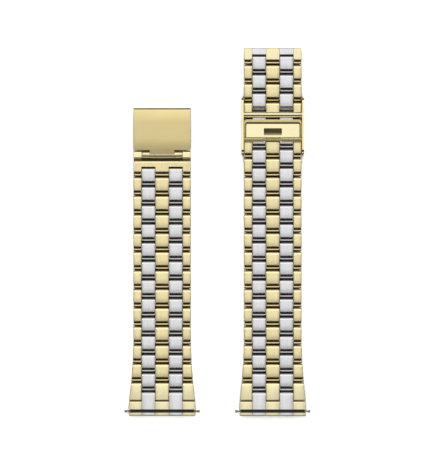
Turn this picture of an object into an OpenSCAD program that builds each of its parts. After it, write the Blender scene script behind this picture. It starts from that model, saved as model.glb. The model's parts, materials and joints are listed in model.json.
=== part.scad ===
// Two-part watch bracelet of staggered bricks with a sliding clamp clasp.
// Both halves lie face up, side by side. X runs across them, Y along them, Z up from the table.
// "s" is a distance along a half, counted from the line between its lug end and its first gold row.

/* [Links] */
// Thickness of every brick, which also sets the spacing of the pins
link_thick = 2.5; // [2.2:0.1:3]
// Gap between the ends of two bricks in one column
end_gap = 0.3; // [0.2:0.05:0.5]
// Gap between neighbouring columns
side_gap = 0.1; // [0.06:0.01:0.2]
// Width of the centre column of gold bricks
centre_w = 4; // [3:0.1:5.5]
// Width of each column of steel bricks
steel_w = 4; // [3:0.1:5.5]
// Width of each edge column of gold bricks
edge_w = 2.4; // [1.8:0.1:3.5]
// Gold rows in the short half
short_rows = 12; // [9:1:12]
// Gold rows in the long half
long_rows = 18; // [18:1:19]
// How much wider each side of a half is at its lug end than along the strap
flare_w = 1.35; // [0.8:0.05:1.6]
// Length over which a half narrows from its lug end
flare_len = 20; // [12:1:28]

/* [Pins] */
// Radius of the link pins
link_pin_r = 0.45; // [0.35:0.01:0.5]
// Clearance of a pin in the piece that holds it
press_gap = 0.01; // [0.01:0.005:0.02]
// Running clearance of a pin in the piece that turns on it
run_gap = 0.05; // [0.03:0.01:0.08]
// How far the ends of a pin stay inside the side faces
pin_inset = 0.1; // [0.05:0.01:0.3]

/* [Lug ends] */
// Length of a lug end beyond the first gold row
lug_len = 4.6; // [4.5:0.05:6]
// Distance of the spring bar's axis from the first gold row
bar_axis_s = 3.2; // [2.4:0.05:3.4]
// Width of the seam that opens the bore on the top
seam_w = 0.9; // [0.3:0.05:1]

/* [Spring bars] */
// Outer radius of the spring bar's tube
tube_r = 0.75; // [0.7:0.01:0.8]
// Wall of the tube
tube_wall = 0.16; // [0.12:0.01:0.2]
// Distance of the tube's ends inside the lug end's sides
tube_inset = 0.4; // [0.2:0.05:0.6]
// Thickness of the tube's turned-in ends
tube_end_t = 0.3; // [0.2:0.05:0.4]
// Length of a tip outside the lug end
tip_free_len = 1.4; // [1.35:0.05:1.8]
// Radius of the end of a tip, which seats in the watch's lug
tip_r = 0.42; // [0.42:0.01:0.45]
// Length of that end
tip_end_len = 0.8; // [0.6:0.05:1]
// Radius of the neck behind it
neck_r = 0.25; // [0.2:0.01:0.26]
// Length of the head that holds a tip inside the tube
head_len = 0.8; // [0.5:0.05:1.2]
// Radius of the spring's wire
wire_r = 0.1; // [0.08:0.01:0.12]
// Turns of the inner spring
spring_turns = 12; // [8:1:14]

/* [Cover] */
// How far each side of the cover plate stays inside the links' side
cover_inset = 0; // [0:0.05:0.5]
// Length from the hinge axis to the cover's free end
cover_len = 14.1; // [12.5:0.1:15]
// Thickness of the cover's sheet
sheet = 0.5; // [0.4:0.05:0.6]
// Height of the cover's top above the top of the links
cover_rise = 0.7; // [0.65:0.05:1]
// Distance from the hinge axis to the flat part of the cover
flat_from = 4.95; // [4.5:0.05:5]
// Length of the flat part, which carries the hook
flat_len = 4.8; // [4.6:0.1:5.2]
// Distance of the plate's straight edge from the hinge knuckle
plate_gap = 0.15; // [0.1:0.05:0.3]
// Radius of the cover's rolled free end
cover_end_r = 1.2; // [0.8:0.05:1.4]
// Width of the rolled tongue
tongue_w = 7.5; // [6:0.1:9]
// Radius of the cover's hinge pin
cover_pin_r = 0.75; // [0.5:0.01:0.8]
// Width of each outer knuckle
knuckle_w = 2.5; // [2:0.1:3]
// Length of the bar that joins the prongs of the last link of each half
end_bar_len = 2.05; // [1.5:0.05:3]
// Distance from the cover's hinge axis to the hook
hook_reach = 5.8; // [5.1:0.1:6.2]
// Width of the hook
hook_w = 8; // [5:0.5:12]
// Thickness of the hook's sheet
hook_t = 0.4; // [0.3:0.05:0.4]

/* [Clamp] */
// Thickness of the channel's floor
floor_t = 0.6; // [0.5:0.05:0.8]
// Thickness of the channel's walls
wall_t = 0.65; // [0.5:0.05:0.8]
// Clearance between the strap and the channel all round
slide_gap = 0.15; // [0.1:0.01:0.25]
// Height of the channel's walls above the links
wall_above = 2.15; // [2.1:0.05:2.8]
// Length of the channel's walls
clamp_len = 16.8; // [16.2:0.1:17.6]
// Distance of the clamp's middle past the seam before the fifteenth gold row
clamp_offset = 3.92; // [3:0.1:5]
// Distance from the middle of the walls to the cross bar
cross_bar_s = 3.4; // [3:0.1:4.5]
// Radius of the cross bar
cross_bar_r = 0.85; // [0.7:0.05:0.9]
// Distance from the flap's hinge to the cross bar's axis
flap_to_bar = 7.4; // [7:0.1:8.2]
// Gap between the flap's free end and the cross bar
flap_end_gap = 0.55; // [0.4:0.05:0.8]
// Thickness of the lock flap
flap_t = 0.8; // [0.65:0.05:0.9]
// Outer radius of the flap's rolled barrel
barrel_r = 0.72; // [0.68:0.01:0.8]
// Radius of the flap's hinge pin
flap_pin_r = 0.45; // [0.3:0.01:0.5]
// Length of the flap's slot across the strap
slot_w = 5.4; // [4:0.1:7]
// Width of the flap's slot along the strap
slot_len = 2.1; // [1.5:0.1:2.6]
// Distance from the flap's hinge axis to the slot
slot_from = 1.25; // [1.1:0.05:1.5]

/* [Layout] */
// Distance between the centre lines of the two halves as they lie
half_spacing = 33.2; // [26:0.1:45]

/* [Hidden] */
$fn = 48;
gold = "goldenrod";
bright_gold = "gold";
steel = "silver";
cut = 0.5;

// Links: with round ends centred on the pins, the pitch is twice a brick's thickness and gap
pin_step = link_thick + end_gap;
link_pitch = 2 * pin_step;
brick_len = link_pitch - end_gap;
half_t = link_thick / 2;
steel_x = centre_w / 2 + side_gap;
edge_x = steel_x + steel_w + side_gap;
strap_half = edge_x + edge_w;
lug_half = strap_half + flare_w;
held_r = link_pin_r + press_gap;
turn_r = link_pin_r + run_gap;
gold_columns = [[-strap_half, edge_w], [-centre_w / 2, centre_w], [edge_x, edge_w]];
steel_columns = [-steel_x - steel_w, steel_x];

// Spring bars
bore_r = tube_r + run_gap;
tube_in_r = tube_r - tube_wall;
tube_half = lug_half - tube_inset;
head_from = tube_half - tube_end_t - run_gap - head_len;
coil_r = tube_in_r - wire_r - run_gap;
spring_half = head_from - run_gap - wire_r;
wire_sides = 6;
rings_per_turn = 8;

// Cover, along the short half
knuckle_r = half_t - 0.15;
knuckle_gap = 0.45;
short_bar_to = (short_rows + 0.5) * link_pitch + end_gap / 2 + end_bar_len;
hinge_s = short_bar_to + knuckle_gap + knuckle_r;
cover_top = link_thick + cover_rise;
plate_from = hinge_s + half_t + plate_gap;
cover_w = 2 * (strap_half - cover_inset);
cover_end_s = hinge_s + cover_len;
end_centre_s = cover_end_s - cover_end_r;
flat_s = hinge_s + flat_from;
flat_to_s = flat_s + flat_len;
// The sheet bends down to both ends with the radius that meets the knuckle smoothly
bend_r = (pow(flat_from, 2) + pow(cover_top - half_t, 2) - pow(half_t, 2)) / (2 * cover_rise);
tongue_bend = asin(flat_from / (bend_r - half_t));
end_bend = asin((end_centre_s - flat_to_s) / (bend_r - cover_end_r));
end_centre_z = cover_top - bend_r + (bend_r - cover_end_r) * cos(end_bend);
hook_in = cross_bar_r + run_gap;
hook_out = hook_in + hook_t;
hook_s = hinge_s + hook_reach;
hook_foot_len = 3.2;

// Clamp, along the long half
rise = floor_t + slide_gap;
strap_top = rise + link_thick;
clamp_rows = 14;
clamp_mid = clamp_rows * link_pitch + clamp_offset;
wall_h = strap_top + wall_above;
wall_corner_r = 1.4;
floor_short = 0.4;
channel_half = strap_half + slide_gap;
clamp_half = channel_half + wall_t;
flap_under = strap_top + slide_gap + 0.1;
bar_s = clamp_mid + cross_bar_s;
bar_z = flap_under + cross_bar_r;
flap_s = bar_s - flap_to_bar;
flap_z = strap_top + slide_gap + barrel_r;
flap_half = channel_half - slide_gap;
flap_end_s = bar_s - cross_bar_r - flap_end_gap;
edge_band = 0.95;
edge_step = 0.2;
slot_half = slot_w / 2;

// The halves are centred on the long one
long_end_s = (long_rows + 0.5) * link_pitch + end_gap / 2 + end_bar_len;
y0 = -(long_end_s - lug_len) / 2;

function two(n) = n < 10 ? str("0", n) : str(n);
function flare(s) = s >= flare_len ? 0 : flare_w * pow(1 - s / flare_len, 2);
function outer_half(s) = strap_half + flare(max(s, 0));

short_links = [for (i = [1:short_rows]) str("short_link_", two(i))];
long_links = [for (i = [1:long_rows]) str("long_link_", two(i))];
halves = ["short", "long"];
sides = ["left", "right"];

// Puts a piece that is drawn along s where its half lies, lifted by z
module placed(half, z) {
    side = half == "short" ? -1 : 1;
    translate([side * half_spacing / 2, y0, z])
        children();
}

// A link or end piece: the long half is lifted by the clamp's floor that passes under it
module on_half(half) {
    placed(half, half == "short" ? 0 : rise)
        children();
}

// Extrudes a profile drawn in s and height across the strap, from x to x + w
module across(x, w) {
    translate([x, 0, 0])
        rotate([90, 0, 90])
            linear_extrude(w)
                children();
}

// A rod across the strap from x to x + w at (s, z)
module rod(x, w, s, z, r) {
    translate([x, s, z])
        rotate([0, 90, 0])
            cylinder(r = r, h = w);
}

// A rod that runs through everything of half width w, for cutting
module bore(w, s, z, r) {
    rod(-w - cut, 2 * (w + cut), s, z, r);
}

// Side profile of a brick with round ends
module brick_profile(s_from, length) {
    translate([s_from + half_t, 0])
        square([length - link_thick, link_thick]);
    for (end = [half_t, length - half_t])
        translate([s_from + end, half_t])
            circle(half_t);
}

// A brick from x to x + w, centred on s_mid, bored with radius r for the pins at its ends
module brick(x, w, s_mid, r) {
    difference() {
        across(x, w)
            brick_profile(s_mid - brick_len / 2, brick_len);
        for (end = [-1, 1])
            rod(x - cut, w + 2 * cut, s_mid + end * pin_step / 2, half_t, r);
    }
}

// An edge brick whose outer side follows the flare near the lug end
module edge_brick(side, s_mid) {
    s_from = s_mid - brick_len / 2;
    s_to = s_mid + brick_len / 2;
    wide = outer_half(s_from) - edge_x;
    x = side > 0 ? edge_x : -edge_x - wide;
    if (s_from < flare_len)
        intersection() {
            brick(x, wide, s_mid, held_r);
            linear_extrude(link_thick)
                polygon([
                    [side * edge_x, s_from],
                    [side * outer_half(s_from), s_from],
                    [side * outer_half(s_to), s_to],
                    [side * edge_x, s_to]
                ]);
        }
    else
        brick(x, wide, s_mid, held_r);
}

// One row of gold bricks, the steel row that follows it and the two pins that the gold row holds
module link(row) {
    gold_s = (row - 0.5) * link_pitch;
    color(gold) {
        brick(-centre_w / 2, centre_w, gold_s, held_r);
        for (side = [-1, 1])
            edge_brick(side, gold_s);
    }
    color(steel) {
        for (x = steel_columns)
            brick(x, steel_w, row * link_pitch, turn_r);
        for (s = [gold_s - pin_step / 2, gold_s + pin_step / 2]) {
            reach = outer_half(s + link_pin_r) - pin_inset;
            rod(-reach, 2 * reach, s, half_t, link_pin_r);
        }
    }
}

// End piece at the watch: a bar with a slotted bore and the two prongs of the first pin
module lug_end() {
    color(gold)
        difference() {
            union() {
                across(-lug_half, 2 * lug_half)
                    brick_profile(-lug_len, lug_len - end_gap / 2);
                for (x = steel_columns)
                    across(x, steel_w)
                        brick_profile(-lug_len, lug_len + brick_len / 2);
            }
            bore(lug_half, pin_step / 2, half_t, turn_r);
            bore(lug_half, -bar_axis_s, half_t, bore_r);
            translate([-lug_half - cut, -bar_axis_s - seam_w / 2, half_t])
                cube([2 * (lug_half + cut), seam_w, link_thick]);
        }
}

// The last link of a half: three prongs on a pin, joined by a bar that ends at bar_to
module end_link_body(rows) {
    prong_from = rows * link_pitch + end_gap / 2;
    bar_from = prong_from + pin_step;
    bar_to = bar_from + end_bar_len;
    across(-strap_half, 2 * strap_half)
        intersection() {
            brick_profile(prong_from, bar_to - prong_from);
            translate([bar_from, 0])
                square([end_bar_len, link_thick]);
        }
    for (c = gold_columns)
        across(c[0], c[1])
            brick_profile(prong_from, bar_to - prong_from);
}

// The pin that the last link of a half holds
module end_link_pin(rows) {
    reach = strap_half - pin_inset;
    color(steel)
        rod(-reach, 2 * reach, rows * link_pitch + pin_step / 2, half_t, link_pin_r);
}

// Last link of the short half, with the outer knuckles of the cover's hinge
module short_end_link() {
    neck_under = half_t - knuckle_r + 0.25;
    color(gold)
        difference() {
            union() {
                end_link_body(short_rows);
                for (x = [-strap_half, strap_half - knuckle_w])
                    across(x, knuckle_w) {
                        translate([hinge_s, half_t])
                            circle(knuckle_r);
                        translate([short_bar_to - half_t, neck_under])
                            square([hinge_s - short_bar_to + half_t, knuckle_r]);
                    }
            }
            bore(strap_half, short_rows * link_pitch + pin_step / 2, half_t, held_r);
            bore(strap_half, hinge_s, half_t, cover_pin_r + press_gap);
        }
    end_link_pin(short_rows);
}

module cover_hinge_pin() {
    reach = strap_half - pin_inset;
    color(bright_gold)
        rod(-reach, 2 * reach, hinge_s, half_t, cover_pin_r);
}

// Part of a ring between two angles, as a profile
module ring_part(r_in, r_out, from, to) {
    angles = [for (i = [0:4]) from + (to - from) * i / 4];
    intersection() {
        difference() {
            circle(r_out);
            circle(r_in);
        }
        polygon(concat([[0, 0]], [for (a = angles) 2 * r_out * [cos(a), sin(a)]]));
    }
}

// Points on an arc round a centre, from its first step on
function arc(centre, r, from, to, steps, first = 0) =
    [for (i = [first:steps]) let (a = from + (to - from) * i / steps) centre + r * [cos(a), sin(a)]];

// Line in the cover's sheet at a depth: bent down to the knuckle, flat, bent down again and rolled in at the end
function cover_line(depth) = concat(
    arc([flat_s, cover_top - bend_r], bend_r - depth, 90 + tongue_bend, 90, 8),
    arc([flat_to_s, cover_top - bend_r], bend_r - depth, 90, 90 - end_bend, 5),
    arc([end_centre_s, end_centre_z], cover_end_r - depth, 90 - end_bend, 0, 12, 1)
);

module cover_profile() {
    under = cover_line(sheet);
    polygon(concat(cover_line(0), [for (i = [len(under) - 1:-1:0]) under[i]]));
}

// Cover plate: one bent sheet, full width from the plate's edge on and narrowed to a rolled tongue at the hinge
module cover_plate() {
    length = cover_end_s - plate_from + cut;
    color(gold)
        difference() {
            union() {
                across(-cover_w / 2, cover_w)
                    intersection() {
                        cover_profile();
                        translate([plate_from, 0])
                            square([length, 2 * cover_top]);
                    }
                across(-tongue_w / 2, tongue_w) {
                    intersection() {
                        cover_profile();
                        translate([hinge_s - half_t, 0])
                            square([half_t + plate_from - hinge_s + 0.1, 2 * cover_top]);
                    }
                    translate([hinge_s, half_t])
                        circle(half_t);
                }
            }
            bore(tongue_w / 2, hinge_s, half_t, cover_pin_r + run_gap);
        }
}

// Hook under the cover: a foot against the sheet and a half ring that is open towards the hinge
module cover_hook() {
    top = cover_top - sheet;
    color(gold)
        across(-hook_w / 2, hook_w) {
            translate([hook_s, top - hook_out])
                ring_part(hook_in, hook_out, -95, 90);
            translate([hook_s - 0.1, top - hook_t])
                square([hook_foot_len, hook_t]);
        }
}

// Last link of the long half
module long_free_end() {
    color(gold)
        difference() {
            end_link_body(long_rows);
            bore(strap_half, long_rows * link_pitch + pin_step / 2, half_t, held_r);
        }
    end_link_pin(long_rows);
}

// Side profile of a channel wall, with round upper corners
module wall_profile() {
    from = clamp_mid - clamp_len / 2;
    translate([from, 0])
        square([clamp_len, wall_h - wall_corner_r]);
    translate([from + wall_corner_r, 0])
        square([clamp_len - 2 * wall_corner_r, wall_h]);
    for (s = [from + wall_corner_r, from + clamp_len - wall_corner_r])
        translate([s, wall_h - wall_corner_r])
            circle(wall_corner_r);
}

// Channel that slides along the long half: a floor under the strap and a wall on each side
module clamp_channel() {
    color(bright_gold)
        difference() {
            union() {
                for (x = [-clamp_half, channel_half])
                    across(x, wall_t)
                        wall_profile();
                translate([-clamp_half, clamp_mid - clamp_len / 2 + floor_short, 0])
                    cube([2 * clamp_half, clamp_len - 2 * floor_short, floor_t]);
            }
            bore(clamp_half, bar_s, bar_z, cross_bar_r + press_gap);
            bore(clamp_half, flap_s, flap_z, flap_pin_r + press_gap);
        }
}

module clamp_cross_bar() {
    reach = clamp_half - pin_inset / 2;
    color(bright_gold)
        rod(-reach, 2 * reach, bar_s, bar_z, cross_bar_r);
}

module flap_hinge_pin() {
    reach = clamp_half - pin_inset / 2;
    color(bright_gold)
        rod(-reach, 2 * reach, flap_s, flap_z, flap_pin_r);
}

// Lock flap: a plate with a slot and a stepped free edge, rolled round its pin on both sides of the slot
module lock_flap() {
    top = flap_under + flap_t;
    color(bright_gold)
        difference() {
            across(-flap_half, 2 * flap_half) {
                translate([flap_s, flap_z])
                    circle(barrel_r);
                polygon([
                    [flap_s, flap_under],
                    [flap_end_s, flap_under],
                    [flap_end_s, top - 0.5],
                    [flap_end_s - 0.25, top - edge_step],
                    [flap_end_s - edge_band, top - edge_step],
                    [flap_end_s - edge_band - 0.15, top],
                    [flap_s, top]
                ]);
            }
            bore(flap_half, flap_s, flap_z, flap_pin_r + run_gap);
            translate([-slot_half, flap_s + slot_from, flap_under - cut])
                cube([slot_w, slot_len, flap_t + 2 * cut]);
            translate([-slot_half - 0.1, flap_s - barrel_r - cut, flap_under - cut])
                cube([slot_w + 0.2, 2 * barrel_r + cut, 2 * barrel_r + 2 * cut]);
        }
}

// Tube of a spring bar, turned in at both ends so that the tips' heads stay inside
module bar_tube() {
    color(steel)
        difference() {
            rod(-tube_half, 2 * tube_half, -bar_axis_s, half_t, tube_r);
            rod(-tube_half + tube_end_t, 2 * (tube_half - tube_end_t), -bar_axis_s, half_t, tube_in_r);
            bore(tube_half, -bar_axis_s, half_t, tip_r + run_gap);
        }
}

// One tip of a spring bar: a head inside the tube, a neck and the end that seats in the watch's lug
module bar_tip(dir) {
    tip_to = lug_half + tip_free_len;
    color(steel)
        translate([0, -bar_axis_s, half_t])
            rotate([0, dir * 90, 0]) {
                translate([0, 0, head_from])
                    cylinder(r = tube_in_r - run_gap, h = head_len);
                translate([0, 0, head_from])
                    cylinder(r = neck_r, h = tip_to - head_from);
                translate([0, 0, tip_to - tip_end_len])
                    cylinder(r = tip_r, h = tip_end_len);
            }
}

// Compression spring between the heads, one unbroken round wire
module bar_spring() {
    rings = spring_turns * rings_per_turn;
    last = rings * wire_sides;
    lead = 2 * spring_half / rings;
    points = [for (i = [0:rings], k = [0:wire_sides - 1])
        let (turn = 360 * i / rings_per_turn, round_wire = 360 * k / wire_sides)
        let (r = coil_r + wire_r * cos(round_wire))
        [-spring_half + lead * i + wire_r * sin(round_wire), r * cos(turn), r * sin(turn)]];
    walls = [for (i = [0:rings - 1], k = [0:wire_sides - 1])
        let (a = i * wire_sides + k, b = i * wire_sides + (k + 1) % wire_sides)
        each [[a, a + wire_sides, b], [b, a + wire_sides, b + wire_sides]]];
    caps = [[for (k = [0:wire_sides - 1]) k], [for (k = [wire_sides - 1:-1:0]) last + k]];
    color(steel)
        translate([0, -bar_axis_s, half_t])
            polyhedron(points, concat(walls, caps));
}

for (row = [1:short_rows])
    on_half("short") link(row);
for (row = [1:long_rows])
    on_half("long") link(row);
for (h = halves)
    on_half(h) lug_end();
on_half("short") short_end_link();
on_half("short") cover_hinge_pin();
on_half("short") cover_plate();
on_half("short") cover_hook();
on_half("long") long_free_end();
placed("long", 0) clamp_channel();
placed("long", 0) clamp_cross_bar();
placed("long", 0) lock_flap();
placed("long", 0) flap_hinge_pin();
for (h = halves)
    on_half(h) bar_tube();
for (h = halves)
    on_half(h) bar_spring();
for (h = halves)
    on_half(h) bar_tip(-1);
for (h = halves)
    on_half(h) bar_tip(1);
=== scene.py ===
"""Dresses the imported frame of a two-part watch bracelet of gold and steel bricks."""

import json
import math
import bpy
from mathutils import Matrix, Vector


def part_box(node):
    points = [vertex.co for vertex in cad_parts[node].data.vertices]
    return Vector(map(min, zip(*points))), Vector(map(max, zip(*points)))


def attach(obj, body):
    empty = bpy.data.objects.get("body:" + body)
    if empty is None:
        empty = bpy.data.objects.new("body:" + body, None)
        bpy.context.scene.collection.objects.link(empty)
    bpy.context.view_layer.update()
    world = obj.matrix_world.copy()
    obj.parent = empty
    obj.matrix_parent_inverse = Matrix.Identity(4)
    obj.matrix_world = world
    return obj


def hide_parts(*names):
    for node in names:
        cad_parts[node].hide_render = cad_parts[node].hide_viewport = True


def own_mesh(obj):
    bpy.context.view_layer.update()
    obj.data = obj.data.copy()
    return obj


bl_info = {
    "name": "Two-Tone Brick Bracelet",
    "version": (1, 0, 0),
    "blender": (4, 5, 0),
    "location": "3D View > Sidebar > Bracelet",
    "description": "Brick links, lug ends, hooked cover, lock clamp and spring bars of a watch bracelet",
    "category": "Object",
}

import bmesh
import bpy
from mathutils import Vector

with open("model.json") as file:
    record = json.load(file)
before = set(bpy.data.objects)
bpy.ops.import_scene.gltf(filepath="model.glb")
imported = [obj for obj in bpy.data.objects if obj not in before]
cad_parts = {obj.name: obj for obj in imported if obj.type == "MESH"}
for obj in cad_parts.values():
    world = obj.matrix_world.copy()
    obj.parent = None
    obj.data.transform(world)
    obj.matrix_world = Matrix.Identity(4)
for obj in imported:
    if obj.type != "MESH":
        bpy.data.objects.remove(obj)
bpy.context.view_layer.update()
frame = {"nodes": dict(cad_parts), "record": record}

MM = 0.001
MICRON = 0.000001
HALVES = ("short", "long")

# How near a point has to be to count as on a line, on an unbent start and on a bent or rounded piece
HAIR = 0.001 * MM
NEAR = 0.01 * MM
# How far a cutting tool reaches past what it cuts, and the length of a drill through the whole strap
PAST = MM
DRILL_LENGTH = 30 * MM
# Sides of rods and bores: of link pins, of most others, and of those that show most
FEW_SIDES = 24
SIDES = 32
MANY_SIDES = 48
# Steps round the ends of a block and along its sides
END_STEPS = 12
SIDE_STEPS = 3
# Rounding of the inner edges of the lug ends and the last links
EDGE_ROUNDING = 0.06 * MM
# Least gap beside a part that turns with the cover
CLEARANCE = 0.15 * MM
# How far a link pin ends inside the strap's sides, and the rounding of its ends
PIN_INSET = 0.1 * MM
PIN_ROUNDING = 0.08 * MM

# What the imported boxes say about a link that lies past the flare
link_low, link_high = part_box("short_link_07")
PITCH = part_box("short_link_08")[0].y - link_low.y
THICK = link_high.z - link_low.z
BRICK_LENGTH = link_high.y - link_low.y - PITCH / 2
STRAP_HALF = (link_high.x - link_low.x) / 2
PIN_FROM_MIDDLE = PITCH / 4


def length(name, millimetres, description):
    return bpy.props.FloatProperty(
        name=name, description=description, default=millimetres * MM, unit="LENGTH"
    )


def colour(name, linear, description):
    return bpy.props.FloatVectorProperty(
        name=name, description=description, default=linear, subtype="COLOR"
    )


class BraceletSizes(bpy.types.PropertyGroup):
    """Sizes that the frame does not give."""

    centre_width: length("Centre column", 4, "Width of a centre gold brick")
    steel_width: length("Steel column", 4, "Width of a steel brick")
    column_gap: length("Column gap", 0.1, "Gap between two columns of bricks")
    crown: length("Crown", 0.045, "How far a brick's top drops towards its ends")
    side_crown: length("Side crown", 0.02, "How far a brick's top drops towards its sides")
    near_end: length("Near end", 1.2, "Radius of a brick's round end towards the lugs")
    near_stretch: bpy.props.FloatProperty(
        name="Near stretch", description="Length of the near end's rounding over its height", default=1.4
    )
    far_end: length("Far end", 0.9, "Radius of a brick's round end towards the clasp")
    square_end: length("Square end", 0.35, "Edge radius of the first, lug and last blocks")
    hinge_end: length("Hinge end", 0.6, "Edge radius of the bar that the cover swings past")
    brick_rounding: length("Brick rounding", 0.1, "Rounding between a brick's top and its sides")
    rim_rounding: length("Rim rounding", 0.13, "Rounding along the outer side of the strap")
    pin_radius: length("Pin radius", 0.45, "Radius of a link pin")
    held_bore: length("Held bore", 0.46, "Radius of the bores that hold a link pin")
    turning_bore: length("Turning bore", 0.5, "Radius of the bores that turn on a link pin")
    flare: length("Flare", 1.35, "How much wider each side is at the lug end")
    flare_length: length("Flare length", 20, "Length over which the strap narrows")
    seam_width: length("Seam", 1.0, "Width of the seam over the spring bar")
    sheet: length("Cover sheet", 0.5, "Thickness of the cover's sheet")
    cover_flat_from: length("Cover flat from", 4.95, "Distance from the hinge to the flat part")
    cover_flat_length: length("Cover flat length", 4.8, "Length of the flat part")
    cover_roll: length("Cover roll", 1.2, "Radius of the cover's rolled free end")
    tongue_width: length("Tongue", 7.5, "Width of the cover's rolled tongue")
    knuckle_width: length("Knuckle", 2.5, "Width of each outer knuckle of the cover's hinge")
    wall: length("Clamp wall", 0.65, "Thickness of the clamp's walls")
    clamp_floor: length("Clamp floor", 0.6, "Thickness of the clamp's floor")
    flap_thickness: length("Flap", 0.8, "Thickness of the lock flap")
    lip_length: length("Lip", 1.25, "Length of the flap's lower lip with its groove")
    lip_step: length("Lip step", 0.38, "Height of the step from the lip up to the flap")
    lip_side: length("Lip side", 0.36, "Width of the lip along the flap's sides")
    slot_width: length("Slot width", 5.4, "Length of the flap's slot across the strap")
    slot_length: length("Slot length", 2.1, "Length of the flap's slot along the strap")


class BraceletColours(bpy.types.PropertyGroup):
    """Colours of the metals and the table, in linear light; the lit, shade and shadow colours paint light
    and shade.
    """

    gold: colour("Brushed gold", (0.9, 0.775, 0.43), "Gold-toned bricks")
    # Painted light: a lighter copy of the gold, for the lug ends, first rows and free end
    lit_gold: colour("Pale gold", (1.0, 0.905, 0.56), "Lug ends, first rows and the free end")
    satin_gold: colour("Satin gold", (1.0, 0.84, 0.425), "Cover plate")
    bright_gold: colour("Bright gold", (0.87, 0.78, 0.48), "Clamp and flap")
    # Painted shade: a darker gold for the rolled barrels and pins, and the base of the darkest gold
    shade_gold: colour("Dull gold", (0.5, 0.41, 0.2), "Rolled barrels and pins")
    steel: colour("Steel", (0.75, 0.75, 0.765), "Bare steel bricks")
    # Painted light: a lighter copy of the steel, for the lug ends and the free end
    lit_steel: colour("Pale steel", (0.83, 0.83, 0.84), "Steel bands of the lug ends and the free end")
    # Painted shade: dark steel for the steep faces in the gaps between rows
    gap_shade_steel: colour("Steel in the gaps", (0.2, 0.2, 0.205), "Steep steel faces between two rows")
    # Painted shadow: near-black steel for the spring bar's tube down in its seam
    tube_shadow_steel: colour("Tube steel", (0.05, 0.05, 0.052), "Spring bar's tube down in its seam")
    table: colour("Table", (0.28, 0.28, 0.28), "Pale surface under the bracelet")


class BraceletStudio(bpy.types.PropertyGroup):
    """Camera and light."""

    camera_height: length("Camera height", 1200, "Height of the camera over the table")
    view_height: length("View height", 140.4, "Height of the picture at the bracelet")
    brightness: bpy.props.FloatProperty(
        name="Brightness", description="Brightness of the soft light", default=1.0
    )
    table_gain: bpy.props.FloatProperty(
        name="Table exposure", description="How much brighter the camera sees the table", default=8.6
    )


# Brightness of the soft light, by degrees from straight up towards the clasp end
LIGHT_ALONG = (
    (-180, 0.2),
    (-110, 0.9),
    (-90, 1.1),
    (-60, 1.1),
    (-10, 0.97),
    (5, 1.19),
    (30, 1.4),
    (62, 1.4),
    (72, 0.12),
    (180, 0.1),
)
# Darkness of the strip past the lug ends, by degrees towards the clasp end and by degrees to either side
STRIP_ALONG = ((-180, 0.0), (-64, 0.0), (-60, 0.98), (-14, 0.98), (-9, 0.0), (180, 0.0))
STRIP_ASIDE = ((0, 1.0), (17, 1.0), (27, 0.0), (90, 0.0))
# Darkness of the two strips beside the bracelet, by degrees in the same two directions
SIDES_ALONG = ((-180, 0.0), (-40, 0.0), (-25, 1.0), (25, 1.0), (40, 0.0), (180, 0.0))
SIDES_ASIDE = ((0, 0.0), (14, 0.0), (20, 0.9), (60, 0.9), (66, 0.0), (90, 0.0))
# What the middle of the picture shows, across and along the strap
PICTURE_MIDDLE = (0.03 * MM, -0.595 * MM)
SENSOR_MM = 36.0
TABLE_DROP = 0.02 * MM


# Selecting and shaping


def only(piece):
    """Select one piece and make it the active one."""
    bpy.ops.object.select_all(action="DESELECT")
    piece.select_set(True)
    bpy.context.view_layer.objects.active = piece


def named(piece, name):
    piece.name = name
    piece.data.name = name
    return piece


def begin(name, primitive, **values):
    """Add a primitive at its size and place, with nothing else selected."""
    bpy.ops.object.select_all(action="DESELECT")
    primitive(**values)
    bpy.ops.object.transform_apply(location=True, rotation=True, scale=True)
    return named(bpy.context.active_object, name)


def open_mesh(piece):
    only(piece)
    bpy.ops.object.mode_set(mode="EDIT")


def close_mesh():
    bpy.ops.object.mode_set(mode="OBJECT")


def pick(piece, kind, test):
    """In edit mode, select the vertices, edges or faces that pass a test."""
    bpy.ops.mesh.select_mode(type=kind)
    bpy.ops.mesh.select_all(action="DESELECT")
    shape = bmesh.from_edit_mesh(piece.data)
    items = {"VERT": shape.verts, "EDGE": shape.edges, "FACE": shape.faces}[kind]
    for item in items:
        if test(item):
            item.select_set(True)
    shape.select_flush_mode()
    bmesh.update_edit_mesh(piece.data)


def middle(edge):
    return (edge.verts[0].co + edge.verts[1].co) / 2


def span(edge):
    """How far an edge reaches along each axis."""
    first, last = edge.verts
    return Vector([abs(b - a) for a, b in zip(first.co, last.co)])


def bevel(piece, test, radius, segments):
    """In edit mode, round the edges that pass a test."""
    pick(piece, "EDGE", test)
    bpy.ops.mesh.bevel(offset=radius, segments=segments, affect="EDGES")


def round_edges(piece, test, radius, segments):
    open_mesh(piece)
    bevel(piece, test, radius, segments)
    close_mesh()
    return piece


def flatten(piece, test, drop):
    """In edit mode, bring the vertices that pass a test nearer to a block's middle plane."""
    pick(piece, "VERT", test)
    bpy.ops.transform.resize(value=(1, 1, 1 - drop / (THICK / 2)), center_override=(0, 0, 0))


def face_outwards(piece, rank):
    """In edit mode, turn a bent sheet so that its face with the highest rank looks up."""
    bpy.ops.mesh.select_all(action="SELECT")
    bpy.ops.mesh.normals_make_consistent(inside=False)
    shape = bmesh.from_edit_mesh(piece.data)
    if max(shape.faces, key=rank).normal.z < 0:
        bpy.ops.mesh.flip_normals()


def move(piece, x, y, z):
    """Move a piece and put its place into its mesh."""
    only(piece)
    bpy.ops.transform.translate(value=(x, y, z))
    bpy.ops.object.transform_apply(location=True, rotation=True, scale=True)
    return piece


def copy_of(piece, name):
    only(piece)
    bpy.ops.object.duplicate()
    return named(bpy.context.active_object, name)


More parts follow.
